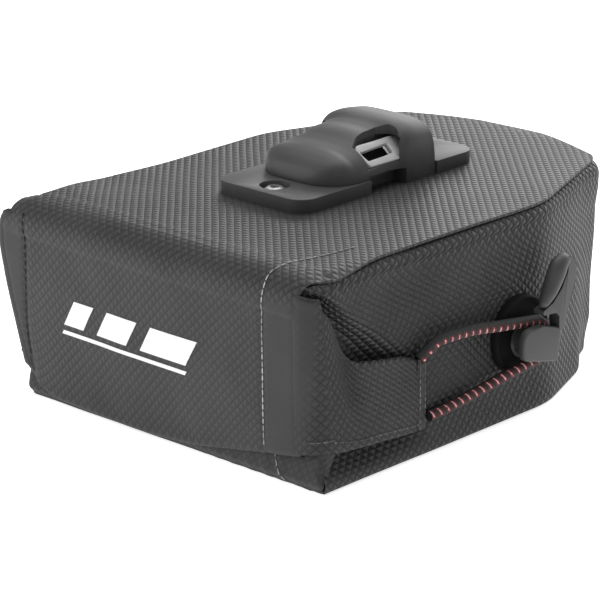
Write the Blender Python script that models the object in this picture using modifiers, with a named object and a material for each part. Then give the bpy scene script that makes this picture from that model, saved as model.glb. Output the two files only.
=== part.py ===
"""Roll-closure saddle bag with a quick-release mount plate, at real size in metres.

The bag stands on its bottom panel at z = 0. +Y runs forward to the nose, which points at the seat
post, and the roll closure faces -Y. The origin is the centre of the bottom of the bounding box.
"""

import math

import bmesh
import bpy
from mathutils import Matrix, Vector

MM = 0.001
GAP = 0.3 * MM  # between pieces that touch on the real bag

# Fabric body
MOUTH_Y = -79.2 * MM  # upper edge of the open rear end
REAR_LEAN = 5.5 * MM  # how far forward the lower edge of the rear end is set
BODY_LENGTH = 167 * MM  # to the point that the nose is rounded back from
HALF_WIDTH = 60.6 * MM  # at the top; the walls lean in towards the bottom
SHOULDER = (60.6 * MM, 102 * MM)  # half width and distance from the mouth where the sides turn in
NOSE_CORNER = (42 * MM, 150.5 * MM)
SHOULDER_RADIUS = 34 * MM
NOSE_CORNER_RADIUS = 13 * MM
NOSE_RADIUS = 60 * MM
ARC_STEPS = 5
FABRIC = 1.6 * MM
WALL_LEAN = 0.8 * MM
TOP_Z = 63.5 * MM  # upper face of the top panel
SEAM_WIDTH = 11 * MM
SEAM_THICK = 0.8 * MM
LIP_HEIGHT = 14 * MM
BOARD = 1.2 * MM

# Roll closure
FLAP_SHEET = 1.2 * MM
FLAP_OUTER_Y = -82.6 * MM  # middle of the outer layer
FLAP_INNER_Y = -80.1 * MM  # middle of the folded-back layer
FLAP_TOP_Z = 62.2 * MM
FLAP_FOLD_HEIGHT = 40 * MM
# The flap narrows downwards. x at its top, then x and z at its skewed lower fold, mm
FLAP_COLUMNS = ((-60.4, -57.0, 1.6), (-5, -5, 1.6), (46, 44.5, 9.5), (60.4, 56.0, 11.5))

# Side ears, drawn from the mouth (y) and up from the bottom (z), mm
EAR_OUTLINE = ((-2.6, 61), (8, 54), (12, 45), (40.5, 32), (40.5, 9.5), (8, 10), (1.9, 12))
EAR_INSIDE = 61.5 * MM
EAR_THICK = 2.6 * MM
TAPE_WIDTH = 4 * MM
TAPE_HEIGHT = 19 * MM

# Elastic cord and the hook that it loops over
CORD_RADIUS = 1.5 * MM
NECK_CENTRE = Vector((0, 10.4, 24.5)) * MM
NECK_RADIUS = 4.6 * MM
CORD_WRAP_RADIUS = NECK_RADIUS + CORD_RADIUS + 0.4 * MM
DISH_CENTRE = Vector((0, 8.6, 26.5)) * MM
DISH_RADIUS = 12.2 * MM
DISH_INSIDE = 60.7 * MM  # x of the face that lies on the wall
RIVET_RADIUS = 1.9 * MM

# Mount plate and hood
PLATE_Z = TOP_Z + 0.6 * MM
PLATE_THICK = 5.2 * MM
PLATE_TOP = PLATE_Z + PLATE_THICK
PLATE_HALF_WIDTH = 18.5 * MM
PLATE_REAR = -39.8 * MM
PLATE_FRONT = 40.0 * MM
PLATE_CORNER = 6 * MM
NOTCH_REAR = -9.3 * MM
NOTCH_FRONT = 20.7 * MM
NOTCH_INSIDE = 13.2 * MM
SCREW_Y = (-32 * MM, 31.5 * MM)
HOOD_REAR = -24.8 * MM
HOOD_FRONT = 20.2 * MM
HOOD_SHOULDER = -9 * MM  # where the rounded toe reaches full width
HOOD_HALF_WIDTH = 17.6 * MM
CHANNEL_HALF_WIDTH = 11.2 * MM
CHANNEL_REAR = -9 * MM
POCKET_REAR = -14 * MM  # the lower pocket behind the channel, for the spring
POCKET_HEIGHT = 6.4 * MM
CHANNEL_HEIGHT = 7.2 * MM
WINDOW = (-8.6 * MM, 7.0 * MM)
BUTTON_OUTSIDE = 15.9 * MM
WAIST = 8.2 * MM  # half width of the hood's top between its side windows
BUTTON_INSIDE = 10.6 * MM

BLACK_FABRIC = ("black_fabric", (0.035, 0.036, 0.038), 0.7, 0.0)
BLACK_PLASTIC = ("black_plastic", (0.02, 0.02, 0.021), 0.45, 0.0)
GREY_PLASTIC = ("grey_plastic", (0.45, 0.45, 0.46), 0.4, 0.0)
BOARD_PLASTIC = ("board_plastic", (0.12, 0.12, 0.12), 0.5, 0.0)
STEEL = ("steel", (0.6, 0.6, 0.62), 0.3, 1.0)
ELASTIC = ("elastic", (0.02, 0.02, 0.02), 0.8, 0.0)


# ---- helpers ---------------------------------------------------------------------------------


def clear_scene():
    for obj in list(bpy.data.objects):
        bpy.data.objects.remove(obj)


def new_collection(name):
    collection = bpy.data.collections.new(name)
    bpy.context.scene.collection.children.link(collection)
    return collection


def material(spec):
    name, colour, roughness, metallic = spec
    found = bpy.data.materials.get(name)
    if found:
        return found
    made = bpy.data.materials.new(name)
    made.use_nodes = True
    shader = made.node_tree.nodes["Principled BSDF"]
    shader.inputs["Base Color"].default_value = (*colour, 1)
    shader.inputs["Roughness"].default_value = roughness
    shader.inputs["Metallic"].default_value = metallic
    return made


def place(obj, collection, spec=None):
    """Puts obj in collection alone, and gives it its material."""
    for owner in list(obj.users_collection):
        owner.objects.unlink(obj)
    collection.objects.link(obj)
    if spec:
        obj.data.materials.append(material(spec))
    return obj


def mesh_object(name, bm, collection, spec=None):
    bmesh.ops.recalc_face_normals(bm, faces=bm.faces)
    mesh = bpy.data.meshes.new(name)
    bm.to_mesh(mesh)
    bm.free()
    return place(bpy.data.objects.new(name, mesh), collection, spec)


def box(name, low, high, collection, spec=None, bevel=0.0):
    low, high = Vector(low), Vector(high)
    bm = bmesh.new()
    bmesh.ops.create_cube(bm, size=1)
    bmesh.ops.scale(bm, vec=high - low, verts=bm.verts)
    bmesh.ops.translate(bm, vec=(low + high) / 2, verts=bm.verts)
    obj = mesh_object(name, bm, collection, spec)
    if bevel:
        add_bevel(obj, bevel)
    return obj


def add_bevel(obj, width, segments=2):
    modifier = obj.modifiers.new("Bevel", "BEVEL")
    modifier.width = width
    modifier.segments = segments
    modifier.limit_method = "ANGLE"


def cylinder(name, centre, radius, depth, axis, collection, spec=None, segments=24):
    """A closed cylinder whose middle is at centre, along axis."""
    bm = bmesh.new()
    bmesh.ops.create_cone(
        bm, cap_ends=True, segments=segments, radius1=radius, radius2=radius, depth=depth
    )
    turn = Vector((0, 0, 1)).rotation_difference(Vector(axis)).to_matrix().to_4x4()
    bmesh.ops.transform(bm, matrix=Matrix.Translation(centre) @ turn, verts=bm.verts)
    return mesh_object(name, bm, collection, spec)


def turned(name, profile, centre, axis, collection, spec, segments=24):
    """A Screw of profile, (radius, height) pairs from the outer top down to the outer bottom."""
    mesh = bpy.data.meshes.new(name)
    points = [(radius, 0, height) for radius, height in profile]
    mesh.from_pydata(points, [(i, i + 1) for i in range(len(points) - 1)], [])
    obj = place(bpy.data.objects.new(name, mesh), collection, spec)
    screw = obj.modifiers.new("Screw", "SCREW")
    screw.steps = screw.render_steps = segments
    screw.use_merge_vertices = True
    screw.merge_threshold = 1e-5
    turn = Vector((0, 0, 1)).rotation_difference(Vector(axis)).to_matrix().to_4x4()
    obj.matrix_world = Matrix.Translation(centre) @ turn
    return obj


def as_mesh(obj):
    """The mesh object that obj, a curve or a modified mesh, evaluates to, with welded caps."""
    bpy.context.view_layer.update()
    evaluated = obj.evaluated_get(bpy.context.evaluated_depsgraph_get())
    mesh = bpy.data.meshes.new_from_object(evaluated)
    bm = bmesh.new()
    bm.from_mesh(mesh)
    bmesh.ops.remove_doubles(bm, verts=bm.verts, dist=1e-6)
    bm.to_mesh(mesh)
    bm.free()
    name, collection, world = obj.name, obj.users_collection[0], obj.matrix_world.copy()
    bpy.data.objects.remove(obj)
    made = place(bpy.data.objects.new(name, mesh), collection)
    made.matrix_world = world
    return made


def plate(name, outline, thickness, world, collection, spec=None):
    """A flat outline in its own XY plane, as thick as given, as a mesh placed by world."""
    bm = bmesh.new()
    low = [bm.verts.new((x, y, -thickness / 2)) for x, y in outline]
    high = [bm.verts.new((x, y, thickness / 2)) for x, y in outline]
    bm.faces.new(low)
    bm.faces.new(high)
    for i in range(len(low)):
        bm.faces.new((low[i - 1], low[i], high[i], high[i - 1]))
    bmesh.ops.transform(bm, matrix=world, verts=bm.verts)
    return mesh_object(name, bm, collection, spec)


def tube(name, points, radius, collection, spec, weights=None, resolution=2):
    curve = bpy.data.curves.new(name, "CURVE")
    curve.dimensions = "3D"
    curve.bevel_depth = radius
    curve.bevel_resolution = resolution
    curve.use_fill_caps = True
    spline = curve.splines.new("POLY")
    spline.points.add(len(points) - 1)
    for i, point in enumerate(points):
        spline.points[i].co = (*point, 1)
        spline.points[i].radius = weights[i] if weights else 1
    return place(bpy.data.objects.new(name, curve), collection, spec)


def boolean(obj, other, operation):
    modifier = obj.modifiers.new(operation.title(), "BOOLEAN")
    modifier.operation = operation
    modifier.object = other


def hide(obj):
    obj.hide_render = True
    obj.display_type = "WIRE"
    return obj


def drill(obj, centre, radius, depth, axis, cutters):
    name = f"{obj.name}_hole_{len(obj.modifiers)}"
    boolean(obj, hide(cylinder(name, centre, radius, depth, axis, cutters)), "DIFFERENCE")


def smooth_route(points, steps):
    """Points of the Catmull-Rom curve through points."""
    ends = [points[0] * 2 - points[1], *points, points[-1] * 2 - points[-2]]
    route = []
    for a, b, c, d in zip(ends, ends[1:], ends[2:], ends[3:]):
        for i in range(steps):
            t = i / steps
            route.append(
                0.5
                * (2 * b + (c - a) * t + (2 * a - 5 * b + 4 * c - d) * t**2 + (3 * b - a - 3 * c + d) * t**3)
            )
    return [*route, points[-1]]


def rounded(corners, radii, steps=ARC_STEPS):
    """The open path through 2D corners, with each inner corner rounded to its radius."""
    path = [Vector(corners[0])]
    for before, corner, after, radius in zip(corners, corners[1:], corners[2:], radii):
        corner = Vector(corner)
        to_before = (Vector(before) - corner).normalized()
        to_after = (Vector(after) - corner).normalized()
        half = to_before.angle(to_after) / 2
        start = corner + to_before * radius / math.tan(half)
        end = corner + to_after * radius / math.tan(half)
        centre = corner + (to_before + to_after).normalized() * radius / math.sin(half)
        sweep = (start - centre).angle_signed(end - centre)
        for i in range(steps + 1):
            turn = Matrix.Rotation(-sweep * i / steps, 2)
            path.append(centre + turn @ (start - centre))
    return [*path, Vector(corners[-1])]


# ---- footprint -------------------------------------------------------------------------------


def rear_y(z, top_y=MOUTH_Y, top_z=TOP_Z):
    """Where a leaning piece of the rear end lies at height z."""
    return top_y + REAR_LEAN * (1 - z / top_z)


def footprint(inset=0.0, height=TOP_Z):
    """The open outline of the body from the mouth's right end round the nose to its left end."""
    half = rounded(
        [(HALF_WIDTH, 0), SHOULDER, NOSE_CORNER, (0, BODY_LENGTH)],
        [SHOULDER_RADIUS, NOSE_CORNER_RADIUS],
    )
    half[-1:] = rounded(
        [half[-2], (0, BODY_LENGTH), (-half[-2].x, half[-2].y)], [NOSE_RADIUS], 4
    )[1:-3]
    path = half + [Vector((-p.x, p.y)) for p in reversed(half) if p.x > 1e-6]
    moved = []
    for i, point in enumerate(path):
        along = path[min(i + 1, len(path) - 1)] - path[max(i - 1, 0)]
        inward = Vector((-along.y, along.x)).normalized()
        moved.append(Vector((point.x + inward.x * inset, MOUTH_Y + point.y + inward.y * inset)))
    moved[0].y = moved[-1].y = rear_y(height)
    return moved


def strip(name, lower, upper, collection, spec, thickness, offset):
    """A sheet between two paths of 3D points, made a solid of the given thickness."""
    bm = bmesh.new()
    low = [bm.verts.new(p) for p in lower]
    high = [bm.verts.new(p) for p in upper]
    for i in range(len(low) - 1):
        bm.faces.new((low[i], low[i + 1], high[i + 1], high[i]))
    mesh = bpy.data.meshes.new(name)
    bm.to_mesh(mesh)
    bm.free()
    obj = place(bpy.data.objects.new(name, mesh), collection, spec)
    solidify = obj.modifiers.new("Solidify", "SOLIDIFY")
    solidify.thickness = thickness
    solidify.offset = offset
    solidify.use_even_offset = True
    return obj


def at_height(path, z):
    return [(p.x, p.y, z) for p in path]


# ---- fabric body -----------------------------------------------------------------------------


def make_body(parts, cutters):
    wall_low, wall_high = FABRIC + GAP, TOP_Z - FABRIC - GAP
    wall = strip(
        "side_wall",
        at_height(footprint(WALL_LEAN, wall_low), wall_low),
        at_height(footprint(), wall_high),
        parts,
        BLACK_FABRIC,
        FABRIC,
        -1,
    )
    for side in (1, -1):
        drill(wall, hook_point(side, 60, NECK_CENTRE), RIVET_RADIUS + GAP, 8 * MM, (1, 0, 0), cutters)

    flat = Matrix.Translation((0, 0, FABRIC / 2))
    plate("bottom_panel", footprint(WALL_LEAN, 0), FABRIC, flat, parts, BLACK_FABRIC)
    flat = Matrix.Translation((0, 0, TOP_Z - FABRIC / 2))
    top = plate("top_panel", footprint(), FABRIC, flat, parts, BLACK_FABRIC)

    seam_z = TOP_Z + GAP
    strip(
        "top_seam_flange",
        at_height(footprint(0.4 * MM), seam_z),
        at_height(footprint(SEAM_WIDTH), seam_z),
        parts,
        BLACK_FABRIC,
        SEAM_THICK,
        1,
    )
    edges = []
    for z in (FABRIC + GAP, LIP_HEIGHT):
        y = rear_y(z) + GAP + FABRIC / 2
        edges.append([(-57.5 * MM, y, z), (57.5 * MM, y, z)])
    strip("mouth_lip", edges[0], edges[1], parts, BLACK_FABRIC, FABRIC, 0)

    board_top = TOP_Z - FABRIC - GAP
    flat = Matrix.Translation((0, 0, board_top - BOARD / 2))
    board = plate("top_stiffener_board", footprint(4 * MM), BOARD, flat, parts, BOARD_PLASTIC)
    flat = Matrix.Translation((0, 0, FABRIC + GAP + BOARD / 2))
    inner = [Vector((p.x, max(p.y, rear_y(0) + 4 * MM))) for p in footprint(6 * MM)]
    plate("bottom_stiffener_board", inner, BOARD, flat, parts, BOARD_PLASTIC)
    for y in SCREW_Y:
        drill(top, (0, y, TOP_Z), 2.5 * MM, 10 * MM, (0, 0, 1), cutters)
        drill(board, (0, y, TOP_Z), 2.5 * MM, 10 * MM, (0, 0, 1), cutters)


# ---- roll closure ----------------------------------------------------------------------------


def make_closure(parts):
    """The flap is one sheet folded up behind itself over a stiffener strip."""
    radius = (FLAP_INNER_Y - FLAP_OUTER_Y) / 2
    bm = bmesh.new()
    columns = []
    for top_x, bottom_x, bottom in FLAP_COLUMNS:
        middle = bottom * MM + FLAP_SHEET / 2 + radius
        profile = [(FLAP_OUTER_Y, FLAP_TOP_Z)]
        for i in range(7):
            turn = math.pi * i / 6
            profile.append(
                (FLAP_OUTER_Y + radius - radius * math.cos(turn), middle - radius * math.sin(turn))
            )
        profile.append((FLAP_INNER_Y, middle + FLAP_FOLD_HEIGHT))
        column = []
        for y, z in profile:
            down = (FLAP_TOP_Z - z) / (FLAP_TOP_Z - middle)
            x = (top_x + (bottom_x - top_x) * down) * MM
            column.append(bm.verts.new((x, rear_y(z, y, FLAP_TOP_Z), z)))
        columns.append(column)
    for left, right in zip(columns, columns[1:]):
        for i in range(len(left) - 1):
            bm.faces.new((left[i], left[i + 1], right[i + 1], right[i]))
    flap = mesh_object("closure_flap", bm, parts, BLACK_FABRIC)
    solidify = flap.modifiers.new("Solidify", "SOLIDIFY")
    solidify.thickness = FLAP_SHEET
    solidify.offset = 0
    solidify.use_even_offset = True

    strip_y = (FLAP_OUTER_Y + FLAP_INNER_Y) / 2
    lean = math.atan(REAR_LEAN / FLAP_TOP_Z)
    world = Matrix.Translation((0, strip_y + REAR_LEAN, 0)) @ Matrix.Rotation(
        math.pi / 2 + lean, 4, "X"
    )
    low, high = [(x * MM, (z + 3.6) * MM) for _, x, z in FLAP_COLUMNS[1:3]]
    outline = [low, high, (high[0], high[1] + 30 * MM), (low[0], low[1] + 38 * MM)]
    plate("roll_stiffener", outline, 0.8 * MM, world, parts, BOARD_PLASTIC)


def make_ear(side, hand, parts):
    """The folded end of the closure, which lies on the side wall, and the tape that ends it."""
    middle = side * (EAR_INSIDE + EAR_THICK / 2)
    upright = Matrix(((0, 0, 1, middle), (1, 0, 0, MOUTH_Y), (0, 1, 0, 0), (0, 0, 0, 1)))
    outline = [(y * MM, z * MM) for y, z in EAR_OUTLINE]
    plate(f"closure_ear_{hand}", outline, EAR_THICK, upright, parts, BLACK_FABRIC)
    end = MOUTH_Y + EAR_OUTLINE[3][0] * MM + GAP
    inside = side * (EAR_INSIDE + 0.5 * MM)
    outside = side * (EAR_INSIDE + EAR_THICK - 0.5 * MM)
    low_z = 10 * MM
    box(
        f"ear_end_tape_{hand}",
        (min(inside, outside), end, low_z),
        (max(inside, outside), end + TAPE_WIDTH, low_z + TAPE_HEIGHT),
        parts,
        BLACK_FABRIC,
    )


def cord_route(side):
    """From the top of the ear's end to the hook, round its neck and back to the ear's tape."""
    upper = [(62.9, -37.9, 31.2), (63.4, -34.2, 33.4), (63.9, -29.2, 35.2), (64.4, -16.2, 34.2)]
    upper += [(65.5, -4.2, 32.6)]
    lower = [(65.5, 0.0, 17.6), (64.2, -14.0, 15.2), (63.2, -30.0, 13.0), (63.0, -33.4, 12.9)]
    turn = []
    for degrees in range(80, -91, -34):
        angle = math.radians(degrees)
        turn.append(
            Vector((65.5 * MM, NECK_CENTRE.y, NECK_CENTRE.z))
            + Vector((0, math.cos(angle), math.sin(angle))) * CORD_WRAP_RADIUS
        )
    points = [Vector(p) * MM for p in upper] + turn + [Vector(p) * MM for p in lower]
    route = smooth_route(points, 4)
    return [Vector((side * p.x, p.y, p.z)) for p in route]


# ---- side hooks ------------------------------------------------------------------------------


def hook_point(side, x_mm, centre):
    return Vector((side * x_mm * MM, centre.y, centre.z))


def make_hook(side, hand, parts, cutters):
    """A dish on the wall, the hook moulding on it, and the rivet and washer that hold both."""
    out = (side, 0, 0)
    profile = [
        (0, 1.3), (9.6, 1.3), (10.6, 2.6), (11.6, 2.6), (12.2, 1.6), (12.2, 0), (0, 0),
    ]
    base = hook_point(side, DISH_INSIDE / MM, DISH_CENTRE)
    dish = turned(
        f"hook_dish_{hand}",
        [(r * MM, h * MM) for r, h in profile],
        base,
        out,
        parts,
        BLACK_PLASTIC,
        segments=28,
    )
    hole = RIVET_RADIUS + GAP
    drill(dish, hook_point(side, 62, NECK_CENTRE), hole, 8 * MM, out, cutters)

    neck = cylinder(
        f"side_hook_{hand}", hook_point(side, 66.6, NECK_CENTRE), NECK_RADIUS, 8 * MM, out, parts,
        BLACK_PLASTIC, 20,
    )
    tab_x = sorted((side * 68.8 * MM, side * 71.6 * MM))
    tab = box(f"hook_tab_{hand}", (tab_x[0], 1.2 * MM, 17.6 * MM), (tab_x[1], 17.2 * MM, 30.6 * MM), cutters)
    add_bevel(tab, 1.1 * MM)
    finger = [
        (70.2, 13.3, 28.5), (69.9, 17.3, 32.0), (68.6, 22.0, 38.5), (68.0, 23.2, 44.0),
        (68.4, 21.4, 47.2), (69.6, 18.2, 46.4), (70.6, 14.2, 41.4), (71.0, 11.0, 37.6),
    ]
    finger = [Vector((side * x, y, z)) * MM for x, y, z in finger]
    weights = [1.0, 0.9, 0.8, 0.8, 0.9, 1.1, 1.2, 1.05]
    finger = as_mesh(tube(f"hook_finger_{hand}", finger, 2.3 * MM, cutters, None, weights, 1))
    boolean(neck, hide(tab), "UNION")
    boolean(neck, hide(finger), "UNION")
    drill(neck, hook_point(side, 62, NECK_CENTRE), hole, 8 * MM, out, cutters)

    inner = 56.0
    turned(
        f"hook_rivet_{hand}",
        [(0, 9.4 * MM), (RIVET_RADIUS, 9.4 * MM), (RIVET_RADIUS, 1.1 * MM), (3.6 * MM, 1.1 * MM),
         (3.2 * MM, 0.2 * MM), (0, 0)],
        hook_point(side, inner, NECK_CENTRE),
        out,
        parts,
        STEEL,
        20,
    )
    washer = cylinder(
        f"hook_washer_{hand}", hook_point(side, inner + 1.8, NECK_CENTRE), 6 * MM, 0.8 * MM, out,
        parts, STEEL,
    )
    drill(washer, hook_point(side, inner + 1.8, NECK_CENTRE), hole, 4 * MM, out, cutters)


# ---- mount -----------------------------------------------------------------------------------


def make_mount_plate(parts, cutters):
    corner = rounded(
        [(0, PLATE_REAR), (PLATE_HALF_WIDTH, PLATE_REAR), (PLATE_HALF_WIDTH, 0)], [PLATE_CORNER]
    )[1:-1]
    right = [
        *[tuple(p) for p in corner],
        (PLATE_HALF_WIDTH, NOTCH_REAR),
        (NOTCH_INSIDE, NOTCH_REAR),
        (NOTCH_INSIDE, NOTCH_FRONT),
        (PLATE_HALF_WIDTH, NOTCH_FRONT),
        *[(x, PLATE_REAR + PLATE_FRONT - y) for x, y in reversed([tuple(p) for p in corner])],
    ]
    outline = right + [(-x, y) for x, y in reversed(right)]
    world = Matrix.Translation((0, 0, PLATE_Z + PLATE_THICK / 2))
    base = plate("mount_plate", outline, PLATE_THICK, world, parts, BLACK_PLASTIC)
    for y in SCREW_Y:
        drill(base, (0, y, PLATE_TOP), 4.7 * MM, 6 * MM, (0, 0, 1), cutters)
        drill(base, (0, y, PLATE_Z), 2.3 * MM, 8 * MM, (0, 0, 1), cutters)
    for side in (1, -1):
        drill(base, (side * 7 * MM, HOOD_REAR + 5 * MM, PLATE_Z), 1.5 * MM, 16 * MM, (0, 0, 1), cutters)
        drill(base, (side * 7 * MM, HOOD_REAR + 5 * MM, PLATE_Z), 2.9 * MM, 4 * MM, (0, 0, 1), cutters)


def make_fasteners(parts, cutters):
    """The plate's two machine screws with their washers and nuts, and the hood's two screws."""
    backing_top = TOP_Z - FABRIC - BOARD - 2 * GAP - 0.1 * MM
    backing = box(
        "mount_backing_plate", (-14 * MM, PLATE_REAR + 2 * MM, backing_top - 1.5 * MM),
        (14 * MM, PLATE_FRONT - 2 * MM, backing_top), parts, STEEL,
    )
    for y in SCREW_Y:
        drill(backing, (0, y, backing_top), 2.5 * MM, 6 * MM, (0, 0, 1), cutters)
    seat = PLATE_TOP - 3 * MM + GAP
    washer_z = backing_top - 1.5 * MM - GAP - 0.4 * MM
    nut_z = washer_z - 0.4 * MM - GAP - 1.6 * MM
    for place_name, y in zip(("rear", "front"), SCREW_Y):
        length = seat - nut_z + 1.0 * MM
        screw = turned(
            f"mount_screw_{place_name}",
            [(0, 2.2), (2.4, 2.1), (3.7, 1.3), (4.0, 0), (2.0, 0), (2.0, -length / MM), (0, -length / MM)],
            (0, y, seat), (0, 0, 1), parts, STEEL,
        )
        screw.data.transform(Matrix.Scale(MM, 4))
        socket = hide(cylinder(f"socket_{place_name}", (0, y, seat + 2.2 * MM), 1.5 * MM, 2.6 * MM,
                               (0, 0, 1), cutters, segments=6))
        boolean(screw, socket, "DIFFERENCE")
        washer = cylinder(f"mount_washer_{place_name}", (0, y, washer_z), 4.5 * MM, 0.8 * MM,
                          (0, 0, 1), parts, STEEL)
        nut = cylinder(f"mount_nut_{place_name}", (0, y, nut_z), 4.0 * MM, 3.2 * MM, (0, 0, 1),
                       parts, STEEL, 6)
        drill(washer, (0, y, washer_z), 2.3 * MM, 4 * MM, (0, 0, 1), cutters)
        drill(nut, (0, y, nut_z), 2.3 * MM, 8 * MM, (0, 0, 1), cutters)
    for side, hand in ((1, "right"), (-1, "left")):
        screw = turned(
            f"hood_screw_{hand}",
            [(0, 8.6), (1.0, 8.6), (1.2, 1.2), (2.5, 1.2), (2.5, 0), (0, 0)],
            (side * 7 * MM, HOOD_REAR + 5 * MM, PLATE_Z + 0.4 * MM), (0, 0, 1), parts, STEEL, 16,
        )
        screw.data.transform(Matrix.Scale(MM, 4))


def hood_height(y):
    """Height of the hood's ridge over the plate: a low toe, a crest and a collar that falls away."""
    knots = [(0, 0), (1.2, 3.6), (3, 5.6), (6, 7.4), (9.5, 8.5), (13.8, 9.4), (18, 10.9), (23, 12.1),
             (28, 12.6), (33, 12.6), (39, 12.2), (45, 11.5)]
    along = (y - HOOD_REAR) / MM
    for (a, low), (b, high) in zip(knots, knots[1:]):
        if along <= b + 1e-9:
            return (low + (high - low) * (along - a) / (b - a)) * MM
    return knots[-1][1] * MM


def hood_half_width(y):
    reach = min(1.0, max(0.0, (HOOD_SHOULDER - y) / (HOOD_SHOULDER - HOOD_REAR)))
    return HOOD_HALF_WIDTH * max(0.04, 1 - reach**3) ** 0.42


def make_hood(parts, cutters):
    """A loft of arches from toe to collar, cut by the adapter channel and the side windows."""
    stations = [HOOD_REAR + s * MM for s in (0.15, 1.2, 3, 6, 9.5, 13.8, 18, 23, 28, 31.1, 38, 45)]
    steps = 14
    base = PLATE_TOP + GAP
    bm = bmesh.new()
    rings = []
    for y in stations:
        half, height = hood_half_width(y), hood_height(y)
        power = 2.6 if y < 6 * MM else 5
        ring = []
        for i in range(steps + 1):
            angle = math.pi * i / steps
            x = math.copysign(abs(math.cos(angle)) ** (2 / power), math.cos(angle)) * half
            z = abs(math.sin(angle)) ** (2 / power) * height
            ring.append(bm.verts.new((x, y, base + z)))
        rings.append(ring)
    for first, second in zip(rings, rings[1:]):
        for i in range(steps):
            bm.faces.new((first[i], first[i + 1], second[i + 1], second[i]))
        bm.faces.new((first[0], second[0], second[-1], first[-1]))
    bm.faces.new(rings[0])
    bm.faces.new(rings[-1])
    bmesh.ops.triangulate(bm, faces=bm.faces)
    hood = mesh_object("mount_hood", bm, parts, BLACK_PLASTIC)
    channel = box(
        "hood_channel", (-CHANNEL_HALF_WIDTH, CHANNEL_REAR, PLATE_Z),
        (CHANNEL_HALF_WIDTH, HOOD_FRONT + 5 * MM, base + CHANNEL_HEIGHT), cutters, bevel=1.5 * MM,
    )
    boolean(hood, hide(channel), "DIFFERENCE")
    pocket = box(
        "hood_pocket", (1.2 * MM - CHANNEL_HALF_WIDTH, POCKET_REAR, PLATE_Z),
        (CHANNEL_HALF_WIDTH - 1.2 * MM, CHANNEL_REAR + 3 * MM, base + POCKET_HEIGHT), cutters,
    )
    boolean(hood, hide(pocket), "DIFFERENCE")
    for side, hand in ((1, "right"), (-1, "left")):
        low, high = sorted((side * WAIST, side * 25 * MM))
        window = box(
            f"hood_window_{hand}", (low, WINDOW[0], PLATE_Z),
            (high, WINDOW[1], base + 20 * MM), cutters,
        )
        boolean(hood, hide(window), "DIFFERENCE")
        low, high = sorted((side * (NOTCH_INSIDE + 0.6 * MM), side * (HOOD_HALF_WIDTH - 0.1 * MM)))
        foot = box(
            f"hood_leg_{hand}", (low, WINDOW[1] + 0.3 * MM, TOP_Z + 0.5 * MM),
            (high, HOOD_FRONT - 0.4 * MM, base + 5 * MM), cutters,
        )
        boolean(hood, hide(foot), "UNION")
        drill(hood, (side * 7 * MM, HOOD_REAR + 5 * MM, base), 1.5 * MM, 8 * MM, (0, 0, 1), cutters)


def make_button(side, hand, parts, cutters):
    """A side button: the pad seen in the hood's window, a foot for the spring and a latch tooth."""
    base = PLATE_TOP + GAP

    def block(name, x_low, x_high, y_low, y_high, z_low, z_high, owner, spec=None):
        low, high = sorted((side * x_low, side * x_high))
        return box(name, (low, y_low, base + z_low), (high, y_high, base + z_high), owner, spec)

    # The pad's outer face leans in, in line with the hood's flank.
    profile = [(BUTTON_INSIDE, 2 * MM), (15.6 * MM, 2 * MM), (BUTTON_OUTSIDE, 3.6 * MM),
               (11.4 * MM, 8.4 * MM), (BUTTON_INSIDE, 8.4 * MM)]
    bm = bmesh.new()
    ends = [
        [bm.verts.new((side * x, y, base + z)) for x, z in profile]
        for y in (WINDOW[0] + 0.5 * MM, WINDOW[1] - 0.5 * MM)
    ]
    for i in range(len(profile)):
        n = (i + 1) % len(profile)
        bm.faces.new((ends[0][i], ends[0][n], ends[1][n], ends[1][i]))
    bm.faces.new(ends[0])
    bm.faces.new(ends[1])
    pad = mesh_object(f"release_button_{hand}", bm, parts, GREY_PLASTIC)
    slot = block(f"button_slot_{hand}", 12.1 * MM, 13.9 * MM, -6.9 * MM, 4 * MM,
                 5.2 * MM, 12 * MM, cutters)
    foot = block(f"button_foot_{hand}", 4.2 * MM, 9.4 * MM, POCKET_REAR + 0.6 * MM,
                 WINDOW[0] + 1.9 * MM, 1.2 * MM, 5.8 * MM, cutters)
    tooth = block(f"button_tooth_{hand}", 8.0 * MM, BUTTON_INSIDE + 0.6 * MM, WINDOW[0] + 0.8 * MM,
                  WINDOW[1] - 1.0 * MM, 2.6 * MM, 6.2 * MM, cutters)
    boolean(pad, hide(foot), "UNION")
    boolean(pad, hide(tooth), "UNION")
    boolean(pad, hide(slot), "DIFFERENCE")


def make_spring(parts):
    turns, half_length, radius = 5, 3.55 * MM, 1.9 * MM
    steps = 9
    centre = Vector((0, POCKET_REAR + 3.2 * MM, PLATE_TOP + GAP + 3.5 * MM))
    points = []
    for i in range(turns * steps + 1):
        angle = math.tau * i / steps
        x = half_length * (2 * i / (turns * steps) - 1)
        points.append(centre + Vector((x, math.cos(angle) * radius, math.sin(angle) * radius)))
    tube("button_spring", points, 0.35 * MM, parts, STEEL, resolution=1)


def main():
    clear_scene()
    parts = new_collection("saddle_bag")
    cutters = new_collection("cutters")
    make_body(parts, cutters)
    make_closure(parts)
    make_mount_plate(parts, cutters)
    make_fasteners(parts, cutters)
    make_hood(parts, cutters)
    make_spring(parts)
    for side, hand in ((1, "right"), (-1, "left")):
        make_ear(side, hand, parts)
        tube(f"elastic_cord_{hand}", cord_route(side), CORD_RADIUS, parts, ELASTIC)
        make_hook(side, hand, parts, cutters)
        make_button(side, hand, parts, cutters)


main()
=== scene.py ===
import math

import bmesh
import bpy
import numpy as np
from mathutils import Matrix, Vector, noise


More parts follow.
